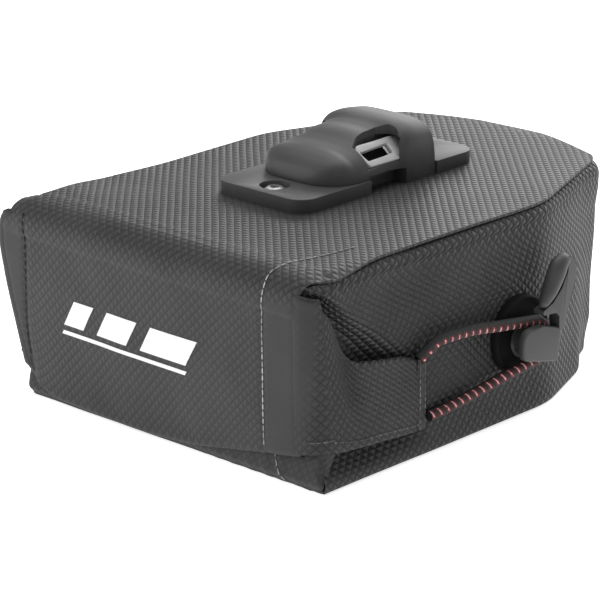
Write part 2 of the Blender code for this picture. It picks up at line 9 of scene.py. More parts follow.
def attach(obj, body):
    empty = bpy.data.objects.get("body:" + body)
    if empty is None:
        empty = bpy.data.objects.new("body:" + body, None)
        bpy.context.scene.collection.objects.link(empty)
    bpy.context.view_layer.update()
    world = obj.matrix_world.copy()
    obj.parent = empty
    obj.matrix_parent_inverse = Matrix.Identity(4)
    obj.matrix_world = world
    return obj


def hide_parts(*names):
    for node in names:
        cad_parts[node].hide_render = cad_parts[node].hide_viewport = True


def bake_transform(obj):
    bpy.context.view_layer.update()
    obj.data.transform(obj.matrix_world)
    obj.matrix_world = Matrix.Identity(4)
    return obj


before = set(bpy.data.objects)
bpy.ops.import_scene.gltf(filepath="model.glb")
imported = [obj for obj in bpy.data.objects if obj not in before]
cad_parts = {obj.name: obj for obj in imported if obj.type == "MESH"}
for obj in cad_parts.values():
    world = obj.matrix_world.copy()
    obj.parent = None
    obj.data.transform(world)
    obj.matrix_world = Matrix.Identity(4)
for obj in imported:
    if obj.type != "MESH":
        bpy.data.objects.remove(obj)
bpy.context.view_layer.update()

MM = 0.001

# Body
HALF_WIDTH = 61.0
SHOULDER_Y = 22.5
NOSE_CORNER = (42.5, 71.3)
NOSE_TIP = (-5, 88.0)
REAR_Y = -80.0
BAND_WIDTH = 11.0
LOWEST_Z = 0.02
# Closure
REAR_TOP_Y = -83.4
REAR_LEAN = 5.0
FLAP_TOP = 62.0
FACE_TOP = 54.0
ROLL_RADIUS = 1.5
STRIP_THICKNESS = 0.8
# Mount and cords
HOOD_BASE = 69.45
LEG_FOOT = 64.5
SADDLE_END, COLLAR_START = 6.85, 6.95
CORD_RADIUS = 1.7
SIDES = ((1, "right"), (-1, "left"))
# Weave
DIAMOND = 3.1 * MM
RIB = 0.62 * MM
BRAID = 1.1 * MM
TRACER = 3.0 * MM


# ---- numbers and curves ----------------------------------------------------------------------


def smooth_step(low, high, value):
    t = np.clip((np.asarray(value, float) - low) / (high - low), 0, 1)
    return t * t * (3 - 2 * t)


def flowing(knots, count):
    """count evenly spaced points of the smooth curve through knots."""
    knots = np.asarray(knots, float)
    ends = np.vstack([2 * knots[0] - knots[1], knots, 2 * knots[-1] - knots[-2]])
    t = np.linspace(0, 1, 24, endpoint=False)[:, None]
    dense = []
    for a, b, c, d in zip(ends, ends[1:], ends[2:], ends[3:]):
        square, cube = 2 * a - 5 * b + 4 * c - d, 3 * b - a - 3 * c + d
        dense.append(0.5 * (2 * b + (c - a) * t + square * t**2 + cube * t**3))
    dense = np.vstack([*dense, knots[-1:]])
    return evenly(dense, count)


def evenly(path, count):
    path = np.asarray(path, float)
    reach = np.concatenate([[0], np.cumsum(np.linalg.norm(np.diff(path, axis=0), axis=1))])
    at = np.linspace(0, reach[-1], count)
    return np.column_stack([np.interp(at, reach, path[:, k]) for k in range(path.shape[1])])


def along(knots, at):
    """The value at each place in at on the smooth curve through (place, value) knots."""
    knots = np.asarray(knots, float)
    x, y = knots[:, 0], knots[:, 1]
    slope = np.gradient(y, x)
    at = np.clip(np.asarray(at, float), x[0], x[-1])
    i = np.clip(np.searchsorted(x, at, side="right") - 1, 0, len(x) - 2)
    h = x[i + 1] - x[i]
    t = (at - x[i]) / h
    return (
        (2 * t**3 - 3 * t**2 + 1) * y[i]
        + (t**3 - 2 * t**2 + t) * h * slope[i]
        + (3 * t**2 - 2 * t**3) * y[i + 1]
        + (t**3 - t**2) * h * slope[i + 1]
    )


def rounded(corners, radii, steps=12):
    """A path through 2D corners with each inner corner rounded to its radius."""
    path = [np.array(corners[0], float)]
    for before, corner, after, radius in zip(corners, corners[1:], corners[2:], radii):
        before, corner, after = (np.array(p, float) for p in (before, corner, after))
        back = (before - corner) / np.linalg.norm(before - corner)
        on = (after - corner) / np.linalg.norm(after - corner)
        half = math.acos(np.clip(back @ on, -1, 1)) / 2
        start, end = corner + back * radius / math.tan(half), corner + on * radius / math.tan(half)
        middle = (back + on) / np.linalg.norm(back + on)
        centre = corner + middle * radius / math.sin(half)
        a, b = start - centre, end - centre
        sweep = math.atan2(a[0] * b[1] - a[1] * b[0], a @ b)
        for i in range(steps + 1):
            c, s = math.cos(sweep * i / steps), math.sin(sweep * i / steps)
            path.append(centre + np.array([a[0] * c - a[1] * s, a[0] * s + a[1] * c]))
    path.append(np.array(corners[-1], float))
    return np.array(path)


def ripple(points, size, seed=0.0):
    """Smooth noise from -1 to 1 at each of an array of points in mm."""
    flat = points.reshape(-1, 3) / size + seed
    values = [noise.noise(Vector(p)) for p in flat]
    return np.array(values).reshape(points.shape[:-1])


def outline(count, inset=0.0):
    """(points, outward normals) of the body seen from above, right rear end to left rear end."""
    x, y = NOSE_CORNER
    path = rounded(
        [
            (HALF_WIDTH, REAR_Y), (HALF_WIDTH, SHOULDER_Y), (x, y), NOSE_TIP,
            (-x + 1.5, y - 1), (-HALF_WIDTH + 0.6, SHOULDER_Y + 2), (-HALF_WIDTH, REAR_Y),
        ],
        [34, 11, 60, 13, 34],
    )
    path = evenly(path, count)
    slope = np.gradient(path, axis=0)
    slope /= np.linalg.norm(slope, axis=1)[:, None]
    normal = np.column_stack([slope[:, 1], -slope[:, 0]])
    return path - normal * inset, normal


# ---- meshes ----------------------------------------------------------------------------------


def add_object(name, mesh, finish=None):
    obj = bpy.data.objects.new(name, mesh)
    bpy.context.scene.collection.objects.link(obj)
    if finish:
        mesh.materials.clear()
        mesh.materials.append(finish)
    return obj


def from_bmesh(bm, name, finish=None):
    mesh = bpy.data.meshes.new(name)
    bm.to_mesh(mesh)
    bm.free()
    return add_object(name, mesh, finish)


def frozen(obj, finish=None, sharp=40):
    """obj with its modifiers applied and its place in its mesh."""
    bpy.context.view_layer.update()
    shape = obj.evaluated_get(bpy.context.evaluated_depsgraph_get())
    mesh = bpy.data.meshes.new_from_object(shape)
    mesh.transform(obj.matrix_world)
    name = obj.name
    bpy.data.objects.remove(obj)
    made = add_object(name, mesh, finish)
    made.name = name
    mesh.shade_smooth()
    mesh.set_sharp_from_angle(angle=math.radians(sharp))
    return made


def cloth(name, grid, finish, thickness=0.8, uv=None, relief=None, flip=False):
    """A piece of fabric on a grid of points in mm, with UVs in metres. flip swaps its thick side."""
    grid = np.asarray(grid, float)
    rows, columns = grid.shape[:2]
    if uv is None:
        across = np.linalg.norm(np.diff(grid, axis=1), axis=2)
        down = np.linalg.norm(np.diff(grid, axis=0), axis=2)
        u = np.concatenate([np.zeros((rows, 1)), np.cumsum(across, axis=1)], axis=1)
        v = np.concatenate([np.zeros((1, columns)), np.cumsum(down, axis=0)], axis=0)
        uv = np.dstack([u, v])
    mesh = bpy.data.meshes.new(name)
    index = np.arange(rows * columns).reshape(rows, columns)
    a, b, c, d = index[:-1, :-1], index[:-1, 1:], index[1:, 1:], index[1:, :-1]
    order = (a, d, c, b) if flip else (a, b, c, d)
    faces = np.stack([k.ravel() for k in order], axis=1)
    mesh.from_pydata((grid.reshape(-1, 3) * MM).tolist(), [], faces.tolist())
    layer = mesh.uv_layers.new(name="weave")
    corners = np.zeros(len(mesh.loops), int)
    mesh.loops.foreach_get("vertex_index", corners)
    layer.data.foreach_set("uv", (uv.reshape(-1, 2)[corners] * MM).ravel())
    strength = mesh.attributes.new("relief", "FLOAT", "POINT")
    values = np.ones(rows * columns) if relief is None else np.asarray(relief, float).ravel()
    strength.data.foreach_set("value", values)
    obj = add_object(name, mesh)
    solid = obj.modifiers.new("Thickness", "SOLIDIFY")
    solid.thickness = thickness * MM
    solid.offset = -1
    obj = frozen(obj, finish, 60)
    for vertex in obj.data.vertices:
        vertex.co.z = max(vertex.co.z, LOWEST_Z * MM)
    return obj


def tube(name, path, radii, finish, sides, wide=None, up=(0, 0, 1)):
    """A closed tube along path, mm. wide scales it across, and UVs run along and round it."""
    path = np.asarray(path, float)
    count = len(path)
    radii = np.broadcast_to(np.asarray(radii, float), (count,))
    wide = np.ones(count) if wide is None else np.broadcast_to(np.asarray(wide, float), (count,))
    slope = np.gradient(path, axis=0)
    slope /= np.linalg.norm(slope, axis=1)[:, None]
    reach = np.concatenate([[0], np.cumsum(np.linalg.norm(np.diff(path, axis=0), axis=1))])
    side = np.cross(slope[0], np.asarray(up, float))
    side /= np.linalg.norm(side)
    rings = []
    for i in range(count):
        side = side - slope[i] * (side @ slope[i])
        side /= np.linalg.norm(side)
        other = np.cross(side, slope[i])
        turn = np.arange(sides) * math.tau / sides
        rings.append(
            path[i]
            + np.outer(np.cos(turn), side) * radii[i] * wide[i]
            + np.outer(np.sin(turn), other) * radii[i]
        )
    bm = bmesh.new()
    layer = bm.loops.layers.uv.new("weave")
    verts = [[bm.verts.new(Vector(p) * MM) for p in ring] for ring in rings]
    for i in range(count - 1):
        for k in range(sides):
            n = (k + 1) % sides
            face = bm.faces.new((verts[i][k], verts[i + 1][k], verts[i + 1][n], verts[i][n]))
            for loop, (r, s) in zip(face.loops, ((i, k), (i + 1, k), (i + 1, k + 1), (i, k + 1))):
                loop[layer].uv = (reach[r] * MM, s / sides)
    bm.faces.new(verts[0])
    bm.faces.new(reversed(verts[-1]))
    bmesh.ops.recalc_face_normals(bm, faces=bm.faces)
    return frozen(from_bmesh(bm, name), finish, 60)


def loft(name, rings):
    """A closed solid through rings of points in mm."""
    bm = bmesh.new()
    verts = [[bm.verts.new(Vector(p) * MM) for p in ring] for ring in rings]
    for one, two in zip(verts, verts[1:]):
        for k in range(len(one)):
            n = (k + 1) % len(one)
            bm.faces.new((one[k], one[n], two[n], two[k]))
    bm.faces.new(verts[0])
    bm.faces.new(verts[-1])
    bmesh.ops.recalc_face_normals(bm, faces=bm.faces)
    return from_bmesh(bm, name)


def slab(name, points, low, high, axis):
    """A flat outline in mm, swept from low to high along axis 0, 1 or 2."""
    points = [np.asarray(p, float) for p in points]
    return loft(name, [[tuple(np.insert(p, axis, level)) for p in points] for level in (low, high)])


def cut(obj, tool):
    """Takes tool out of obj, and removes tool."""
    change = obj.modifiers.new("Cut", "BOOLEAN")
    change.operation = "DIFFERENCE"
    change.object = tool
    made = frozen(obj)
    bpy.data.objects.remove(tool)
    return made


def bevelled(obj, width, finish, segments, angle=35, sharp=50):
    edge = obj.modifiers.new("Edges", "BEVEL")
    edge.width = width * MM
    edge.segments = segments
    edge.limit_method = "ANGLE"
    edge.angle_limit = math.radians(angle)
    return frozen(obj, finish, sharp)


def tidy_copy(node):
    """A copy of a CAD node, with its triangles merged into flat faces."""
    bm = bmesh.new()
    bm.from_mesh(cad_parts[node].data)
    bmesh.ops.remove_doubles(bm, verts=bm.verts, dist=1e-6)
    bmesh.ops.dissolve_limit(bm, angle_limit=math.radians(1.5), verts=bm.verts, edges=bm.edges)
    return from_bmesh(bm, node + "_finished")


# ---- materials -------------------------------------------------------------------------------


def add_node(tree, kind, settings=None, values=None):
    """A node of a kind, with its settings first and then its sockets' links or values."""
    node = tree.nodes.new(kind)
    for key, value in (settings or {}).items():
        setattr(node, key, value)
    for key, value in (values or {}).items():
        if isinstance(value, bpy.types.NodeSocket):
            tree.links.new(value, node.inputs[key])
        else:
            node.inputs[key].default_value = value
    return node


class Wire:
    """A value in a material. Arithmetic on it adds Math nodes."""

    def __init__(self, finish, socket):
        self.finish, self.socket = finish, socket

    def math(self, operation, *values):
        return self.finish.add("ShaderNodeMath", {"operation": operation}, dict(enumerate(values)))

    def __add__(self, other):
        return self.math("ADD", self, other)

    __radd__ = __add__

    def __sub__(self, other):
        return self.math("SUBTRACT", self, other)

    def __rsub__(self, other):
        return self.math("SUBTRACT", other, self)

    def __mul__(self, other):
        return self.math("MULTIPLY", self, other)

    __rmul__ = __mul__

    def __truediv__(self, other):
        return self.math("DIVIDE", self, other)

    def fraction(self):
        return self.math("FRACT", self)

    def ridge(self):
        """1 at a half, falling to 0 at 0 and 1."""
        return 1 - self.math("ABSOLUTE", self * 2 - 1)

    def wave(self):
        """0 at whole numbers and 1 half way between them."""
        return self.fraction().ridge()

    def least(self, other):
        return self.math("MINIMUM", self, other)

    def most(self, other):
        return self.math("MAXIMUM", self, other)

    def step(self, low, high):
        """Smoothly from 0 at low to 1 at high."""
        return self.finish.add(
            "ShaderNodeMapRange",
            {"interpolation_type": "SMOOTHSTEP", "clamp": True},
            {0: self, 1: low, 2: high, 3: 0.0, 4: 1.0},
        )


class Finish:
    """One procedural material round a Principled BSDF."""

    def __init__(self, name, **constants):
        self.material = bpy.data.materials.new(name)
        self.material.use_nodes = True
        self.tree = self.material.node_tree
        self.shader = self.tree.nodes["Principled BSDF"]
        for socket, value in constants.items():
            self.shader.inputs[socket.replace("_", " ")].default_value = value

    def add(self, kind, settings=None, values=None, out=0):
        plain = {k: v.socket if isinstance(v, Wire) else v for k, v in (values or {}).items()}
        return Wire(self, add_node(self.tree, kind, settings, plain).outputs[out])

    def to(self, socket, value):
        self.tree.links.new(value.socket, self.shader.inputs[socket])

    def place(self):
        return self.add("ShaderNodeTexCoord", out=3)

    def uv(self):
        """The piece's own cloth coordinates, along and across, in metres."""
        along_across = self.add("ShaderNodeUVMap", {"uv_map": "weave"})
        parts = self.add("ShaderNodeSeparateXYZ", None, {0: along_across}).socket.node.outputs
        return Wire(self, parts[0]), Wire(self, parts[1])

    def noise(self, scale, detail=3.0, rough=0.5):
        return self.add(
            "ShaderNodeTexNoise",
            None,
            {"Vector": self.place(), "Scale": scale, "Detail": detail, "Roughness": rough},
        )

    def mix(self, amount, first, second):
        """A colour between two colours, or colour wires."""
        first, second = (
            value if isinstance(value, Wire) else (*value, 1) for value in (first, second)
        )
        return self.add(
            "ShaderNodeMix", {"data_type": "RGBA"}, {0: amount, 6: first, 7: second}, out=2
        )

    def bump(self, height, distance, strength=1.0, before=None):
        values = {"Strength": strength, "Distance": distance, "Height": height}
        if before:
            values["Normal"] = before
        return self.add("ShaderNodeBump", None, values)


def grey(value):
    return (value, value, value)


def make_ripstop(name, dark, light, height, rough=0.5, level=0.4):
    """Coated black fabric embossed with small pyramids, each with a darker lower half as painted shade,
    a lighter upper half as painted light, and painted shade in the grooves between them.
    """
    finish = Finish(name, **{"Specular_IOR_Level": level})
    u, v = finish.uv()
    wander = finish.noise(60.0, 2.0) * 0.12
    p = ((u + v) / DIAMOND + wander).fraction()
    q = ((u - v) / DIAMOND + wander).fraction()
    peak = p.ridge().least(q.ridge())
    # upper marks each pyramid's upper half; the colour paints it lighter than the lower half, as painted
    # light from above and painted shade below.
    upper = (p - q).step(-0.16, 0.16)
    strength = finish.add("ShaderNodeAttribute", {"attribute_name": "relief"}, out=2)
    rib = (u / RIB).wave().least((v / RIB).wave())
    grain = finish.noise(3600.0, 2.0, 0.6)
    soft = finish.noise(34.0, 4.0, 0.6)
    # groove marks the hollows between the pyramids; the colour darkens them as painted shade.
    groove = 1 - peak.step(0.02, 0.4)
    # The colour mixes random tone, grain and ribs with painted light on the upper halves and painted
    # shade in the grooves.
    shade = soft.step(0.3, 0.75) * 0.35 + grain * 0.25 + rib * 0.12 + upper * strength * 0.42
    finish.to("Base Color", finish.mix(shade - groove * strength * 0.45, grey(dark), grey(light)))
    finish.to("Roughness", rough + soft * 0.1 + groove * strength * 0.15 - upper * strength * 0.08)
    relief = finish.bump(peak * strength, height)
    finish.to("Normal", finish.bump(grain * 0.6 + rib * 0.5 + soft * 0.4, 0.00007, 0.6, relief))
    return finish.material


def make_plastic(name, dark, light, rough, level=0.5):
    """Moulded plastic with a fine spark-eroded texture and soft handling marks."""
    finish = Finish(name, **{"Specular_IOR_Level": level})
    fine = finish.noise(1500.0, 3.0, 0.6)
    broad = finish.noise(90.0, 4.0, 0.6)
    shade = broad.step(0.3, 0.75) * 0.7 + fine * 0.3
    finish.to("Base Color", finish.mix(shade, grey(dark), grey(light)))
    finish.to("Roughness", rough + broad * 0.12 + fine * 0.05)
    finish.to("Normal", finish.bump(fine, 0.00005, 0.5))
    return finish.material


def make_cord():
    """Braided dark elastic, with pale ticks on a dark red tracer along its outer side."""
    finish = Finish("braided_elastic", **{"Specular_IOR_Level": 0.3})
    u, v = finish.uv()
    braid = (u / BRAID + v * 5).wave().most((u / BRAID - v * 5).wave())
    place = u / TRACER + v * 1.1
    band = v.step(0.03, 0.07) * (1 - v.step(0.25, 0.31))
    stain = place.wave().step(0.25, 0.6) * v.step(0.0, 0.05) * (1 - v.step(0.28, 0.36))
    tick = place.wave().step(0.78, 0.86) * band
    fleck = finish.noise(1400.0, 2.0)
    black = finish.mix(braid * 0.6 + fleck * 0.4, grey(0.008), grey(0.034))
    red = finish.mix(stain * 0.75, black, (0.16, 0.012, 0.02))
    finish.to("Base Color", finish.mix(tick * fleck.step(0.3, 0.5), red, (0.66, 0.4, 0.38)))
    finish.to("Roughness", 0.62 + braid * 0.15)
    finish.to("Normal", finish.bump(braid + tick * 0.5, 0.00016, 0.8))
    return finish.material


def make_thread(name, dark, light):
    finish = Finish(name, **{"Specular_IOR_Level": 0.3})
    fine = finish.noise(2500.0, 2.0)
    broad = finish.noise(240.0, 2.0)
    finish.to("Base Color", finish.mix(broad.step(0.35, 0.7), grey(dark), grey(light)))
    finish.to("Roughness", 0.6 + fine * 0.15)
    finish.to("Normal", finish.bump(fine, 0.00004, 0.5))
    return finish.material


def make_steel():
    finish = Finish("bright_steel", Metallic=1.0)
    broad = finish.noise(400.0, 3.0)
    finish.to("Base Color", finish.mix(broad, grey(0.5), grey(0.72)))
    finish.to("Roughness", 0.22 + broad * 0.15)
    finish.to("Normal", finish.bump(broad, 0.00003, 0.4))
    return finish.material


def make_reflective():
    """Silver-white reflective print, slightly cracked by the weave below it."""
    finish = Finish("reflective_print", **{"Specular_IOR_Level": 0.5})
    fine = finish.noise(3000.0, 3.0, 0.6)
    finish.to("Base Color", finish.mix(fine.step(0.35, 0.6), grey(0.8), grey(0.93)))
    finish.to("Roughness", 0.42 + fine * 0.12)
    finish.to("Normal", finish.bump(fine, 0.00004, 0.5))
    return finish.material


def make_floor():
    finish = Finish("pale_floor", Roughness=0.9, Emission_Strength=0.75, **{"Specular_IOR_Level": 0.1})
    finish.to("Emission Color", finish.mix(finish.noise(2.0, 1.0), grey(0.98), grey(1.0)))
    broad = finish.noise(3.0, 3.0)
    finish.to("Base Color", finish.mix(broad, grey(0.9), grey(0.93)))
    return finish.material


ripstop = make_ripstop("ripstop_side", 0.006, 0.042, 0.0006)
ripstop_front = make_ripstop("ripstop_strip", 0.01, 0.046, 0.00045)
plastic = make_plastic("moulded_black", 0.03, 0.045, 0.42)
plastic_hood = make_plastic("moulded_black_hood", 0.032, 0.048, 0.44)
# A darker, rougher copy of the black plastic, as painted shade: it stands in for the shade inside the
# hood, behind the button slots and round the hooks.
plastic_painted_shade = make_plastic("moulded_black_painted_shade", 0.004, 0.008, 0.7, level=0.15)
plastic_grey = make_plastic("moulded_grey", 0.42, 0.52, 0.34)
elastic = make_cord()
thread = make_thread("pale_thread", 0.3, 0.6)
thread_soft = make_thread("grey_thread", 0.08, 0.22)
thread_dark = make_thread("dark_thread", 0.01, 0.03)
steel = make_steel()
reflective = make_reflective()


# ---- fabric body -----------------------------------------------------------------------------


def rear_y(z):
    """Where the outside of the closure lies at height z."""
    z = np.asarray(z, float)
    return REAR_TOP_Y + REAR_LEAN * (1 - z / FLAP_TOP)


EAR_TOP = ((-86, 60.6), (-83, 59.4), (-79, 57.0), (-75, 54.2), (-72.5, 49.4), (-70.3, 43.4),
           (-67.2, 38.6), (-62, 36.8), (-54, 35.4), (-45, 33.6), (-38, 31.0))
EAR_BOTTOM = ((-84, 12.4), (-74, 11.4), (-66, 11.0), (-53, 10.4), (-38, 8.7))
# The side fabric's lower fold, from the rear corner down to the hook.
SIDE_FOLD = ((-86, 62.2), (-82, 61.0), (-78, 59.2), (-74, 56.6), (-68.6, 51.6), (-62, 46.4), (-56, 42.4),
             (-47.6, 36.6), (-40, 33.0), (-30, 30.0))


def left_dip(y):
    """How far the left edge of the top hangs below the right one."""
    y = np.asarray(y, float)
    dip = 1.6 + 1.0 * np.exp(-(((y + 18) / 30) ** 2)) - 1.0 * smooth_step(-45, -68, y)
    return dip * smooth_step(75, 40, y)


def make_side_wall():
    """The side fabric, turned under at the bottom and over the top panel as a sewn band."""
    profile = flowing(
        [
            (-9, 0.5), (-4, 0.25), (-0.6, 0.3), (0.8, 0.9), (1.2, 2.6), (1.0, 9), (0.5, 22),
            (0.2, 38), (0.2, 52), (0.2, 58.5), (-0.05, 61.0), (-0.8, 62.8), (-2.2, 63.9), (-4.4, 64.3),
            (-7, 64.4), (-BAND_WIDTH, 64.4),
        ],
        110,
    )
    path, normal = outline(330)
    grid = np.zeros((len(profile), len(path), 3))
    for j, (out, z) in enumerate(profile):
        grid[j, :, :2] = path + normal * out
        grid[j, :, 2] = z
    x, y, z = grid[..., 0], grid[..., 1], grid[..., 2]
    # The rear end stops inside the low rear wall, and reaches back to the corner at the top.
    high = smooth_step(40, 58, z)
    grid[..., 1] += smooth_step(-60, -80, y) * (3.6 - 5.0 * high)
    y = grid[..., 1]

    # Behind the ear the fabric is folded in, sharply at the corner and softly towards the hook.
    fold = along(SIDE_FOLD, y)
    soft = 0.7 + 7.5 * smooth_step(-78, -52, y)
    inside = 1 - smooth_step(fold - soft, fold + 0.5 * soft, z)
    depth = 4.6 - 2.0 * smooth_step(-60, -42, y)
    depth = depth * (1 - smooth_step(-44, -32, y)) * (0.08 + 0.92 * smooth_step(3, 11, z))
    push = depth * inside
    wall = 1 - smooth_step(57, 63, z)
    push += 1.2 * np.exp(-(((y + 45) / 14) ** 2)) * np.exp(-(((z - 52) / 9) ** 2)) * wall
    over_fold = smooth_step(0, 2.5, z - fold) * smooth_step(65, 58, z)
    push -= 1.3 * np.exp(-(((y + 76) / 9) ** 2)) * over_fold
    waves = ripple(grid, 26.0, 3.1) * 0.55 + ripple(grid, 11.0, 9.7) * 0.16
    push += waves * wall * smooth_step(2, 10, z)
    low = smooth_step(14, 2, z)
    push += (1.6 * smooth_step(48, 20, z) + 2.6 * low) * smooth_step(48, 66, y) - 0.7 * low
    push -= 0.8 * smooth_step(48, 57, z) * smooth_step(66, 60, z) * smooth_step(52, 68, y)
    grid[..., :2] -= normal[None] * push[..., None]
    top = smooth_step(62.5, 64.2, z)
    grid[..., 2] += top * (ripple(grid, 17.0, 1.3) * 0.25)
    # The band sinks below the strip at the rear, where both turn down over the corner.
    grid[..., 2] -= 1.7 * top * smooth_step(-52, -74, y)
    grid[..., 2] -= left_dip(y) * smooth_step(-20, -58, x) * smooth_step(56, 62, z)
    relief = 1.0 - 0.3 * top
    return cloth("side_fabric", grid, ripstop, 0.8, relief=relief)


def half_width_at(y):
    """Half width of the top inside the sewn band's line at y, for the right and the left."""
    path, _ = outline(600, 1.2)
    order = path[path[:, 0] > NOSE_TIP[0]]
    right = np.interp(y, order[:, 1], order[:, 0])
    order = path[path[:, 0] <= NOSE_TIP[0]][::-1]
    left = np.interp(y, order[:, 1], order[:, 0])
    return left, right


STITCH_RIGHT = ((60, 45.5), (55, 44.6), (46.4, 43.7), (32, 42.6), (20, 41.8), (12.6, 41.4))
STITCH_LEFT = ((60, -54.6), (50, -55.4), (36, -57.0), (22, -58.2), (10, -57.2))
CORNER_RIGHT = ((63, 58.0), (58, 57.4), (45, 56.4), (30, 55.4), (12, 54.6))
CORNER_LEFT = (
    (63, -61.0), (60.6, -61.8), (58, -64.0), (52, -66.0), (40, -65.4), (24, -62.6), (12, -60.2),
    (4, -58.4),
)
# The closure's lower edge, as (x, height).
FOLD = (
    (-66, 10.5), (-59, 8.6), (-55, 4.6), (-49, 2.6), (-40, 1.9), (-5, 1.6), (12, 3.2), (28, 6.2),
    (46, 9.6), (56, 11.2), (66, 12.4),
)
WALL_LEFT = (
    (0, 60.9), (12, 62.8), (24, 65.2), (40, 67.8), (50, 68.3), (55, 67.6), (58.4, 65.8), (60.4, 62.9),
    (61.5, 61.8),
)


def at_height(knots, z):
    """x at height z on a line given as (height, x) knots from the top down."""
    return along(np.array(knots)[::-1], z)


def make_top_and_flap():
    """One strip: the top panel, the soft fold over the rear edge and the closure's face."""
    columns = 160
    c = np.linspace(0, 1, columns)
    rows = []
    for y in np.linspace(80.5, -72, 130):
        left, right = half_width_at(y)
        out = float(smooth_step(-50, -72, y))
        left, right = left - 1.7 * out, right + 1.4 * out
        x = left + (right - left) * c
        swell = 0.35 * np.cos(math.pi * x / 130) * np.cos(math.pi * y / 190)
        drop = out * 1.9 * smooth_step(56, 62, np.abs(x)) ** 1.5 + 0.25 * smooth_step(75, 82, y)
        drop += left_dip(y) * smooth_step(-20, -58, x)
        rows.append(np.column_stack([x, np.full(columns, y), 64.0 + swell - drop]))
    turn = flowing(
        [(-72, 64.3), (-76, 64.1), (-79.4, 63.5), (-81.8, 62.1), (-83.1, 59.8), (-83.35, 57.0),
         (-83.1, FACE_TOP)], 26)
    for i, (y, z) in enumerate(turn[1:]):
        t = (i + 1) / (len(turn) - 1)
        gone = float(smooth_step(0, 0.8, t))
        right = 61.2 + (float(at_height(CORNER_RIGHT, z)) - 61.2) * gone
        left = -61.5 + (float(at_height(CORNER_LEFT, z)) + 61.5) * gone
        x = left + (right - left) * c
        edge = smooth_step(54, 61, np.abs(x)) ** 1.5
        drop = 1.9 * edge * (1 - t) + left_dip(-72) * smooth_step(-20, -58, x) * (1 - t)
        sag = 0.8 * np.cos(math.pi * np.clip(x / 124, -0.5, 0.5))
        sag = sag * math.sin(math.pi * min(1, t * 1.2))
        rows.append(np.column_stack([x, y + 0.3 * edge * t + sag * 0.9, z - drop]))
    for t in np.linspace(0, 1, 62)[1:]:
        row = []
        for k in c:
            x = -58 + 114 * k
            for _ in range(3):
                low = float(along(FOLD, x)) + ROLL_RADIUS
                z = FACE_TOP + (low - FACE_TOP) * t
                right, left = float(at_height(CORNER_RIGHT, z)), float(at_height(CORNER_LEFT, z))
                x = left + (right - left) * k
            row.append((x, float(rear_y(z)) + 0.1, z))
        rows.append(np.array(row))
    last = rows[-1]
    for angle in np.linspace(0, math.pi, 10)[1:]:
        shift = np.array([0, 1 - math.cos(angle), -math.sin(angle)]) * ROLL_RADIUS
        rows.append(last + shift)
    for rise in np.linspace(3, 26, 8):
        inner = last.copy()
        inner[:, 2] += rise
        inner[:, 1] = rear_y(inner[:, 2]) + 0.1 + 2 * ROLL_RADIUS
        rows.append(inner)
    grid = np.array(rows)
    x, y, z = grid[..., 0], grid[..., 1], grid[..., 2]
    face = smooth_step(62, 54, z) * (y < -70)
    full = 0.8 * np.cos(math.pi * np.clip(x / 116, -0.5, 0.5))
    full = full * np.sin(math.pi * np.clip(z / 60, 0, 1))
    loose = smooth_step(57, 44, np.abs(x))
    waves = ripple(grid, 30.0, 5.5) * 0.7 + ripple(grid, 12.0, 2.2) * 0.18
    grid[..., 1] -= face * (full + waves * loose)
    # Both side edges tuck in below the ears.
    grid[..., 1] += (z < 62) * (y < -70) * 0.5 * np.clip(np.abs(2 * c - 1) - 0.97, 0, 1) / 0.03
    # The seam draws a shallow channel down the face.
    for knots, deep in ((STITCH_RIGHT, 0.35), (STITCH_LEFT, 0.55)):
        off = (x - at_height(knots, z)) / 1.1
        grid[..., 1] += face * deep * np.exp(-(off**2))
    flat_top = (y > -76) * smooth_step(60, 63, z)
    grid[..., 2] += flat_top * (ripple(grid, 24.0, 7.7) * 0.3)
    # Outside the seams the face is smooth, and the top's weave is shallow.
    sewn = smooth_step(0, 3, x - at_height(STITCH_RIGHT, z))
    sewn = sewn + smooth_step(0, 3, at_height(STITCH_LEFT, z) - x)
    relief = 1.0 - face * (0.5 + 0.45 * np.clip(sewn, 0, 1))
    relief = relief - 0.45 * smooth_step(60, 63, z) * (y > -82)
    middle = grid[:, columns // 2]
    run = np.concatenate([[0], np.cumsum(np.linalg.norm(np.diff(middle, axis=0), axis=1))])
    uv = np.dstack([grid[..., 0], np.repeat(-run[:, None], columns, axis=1)])
    return cloth("top_and_closure_strip", grid, ripstop_front, 0.8, uv=uv, relief=relief), grid


EAR_HEMS = {}


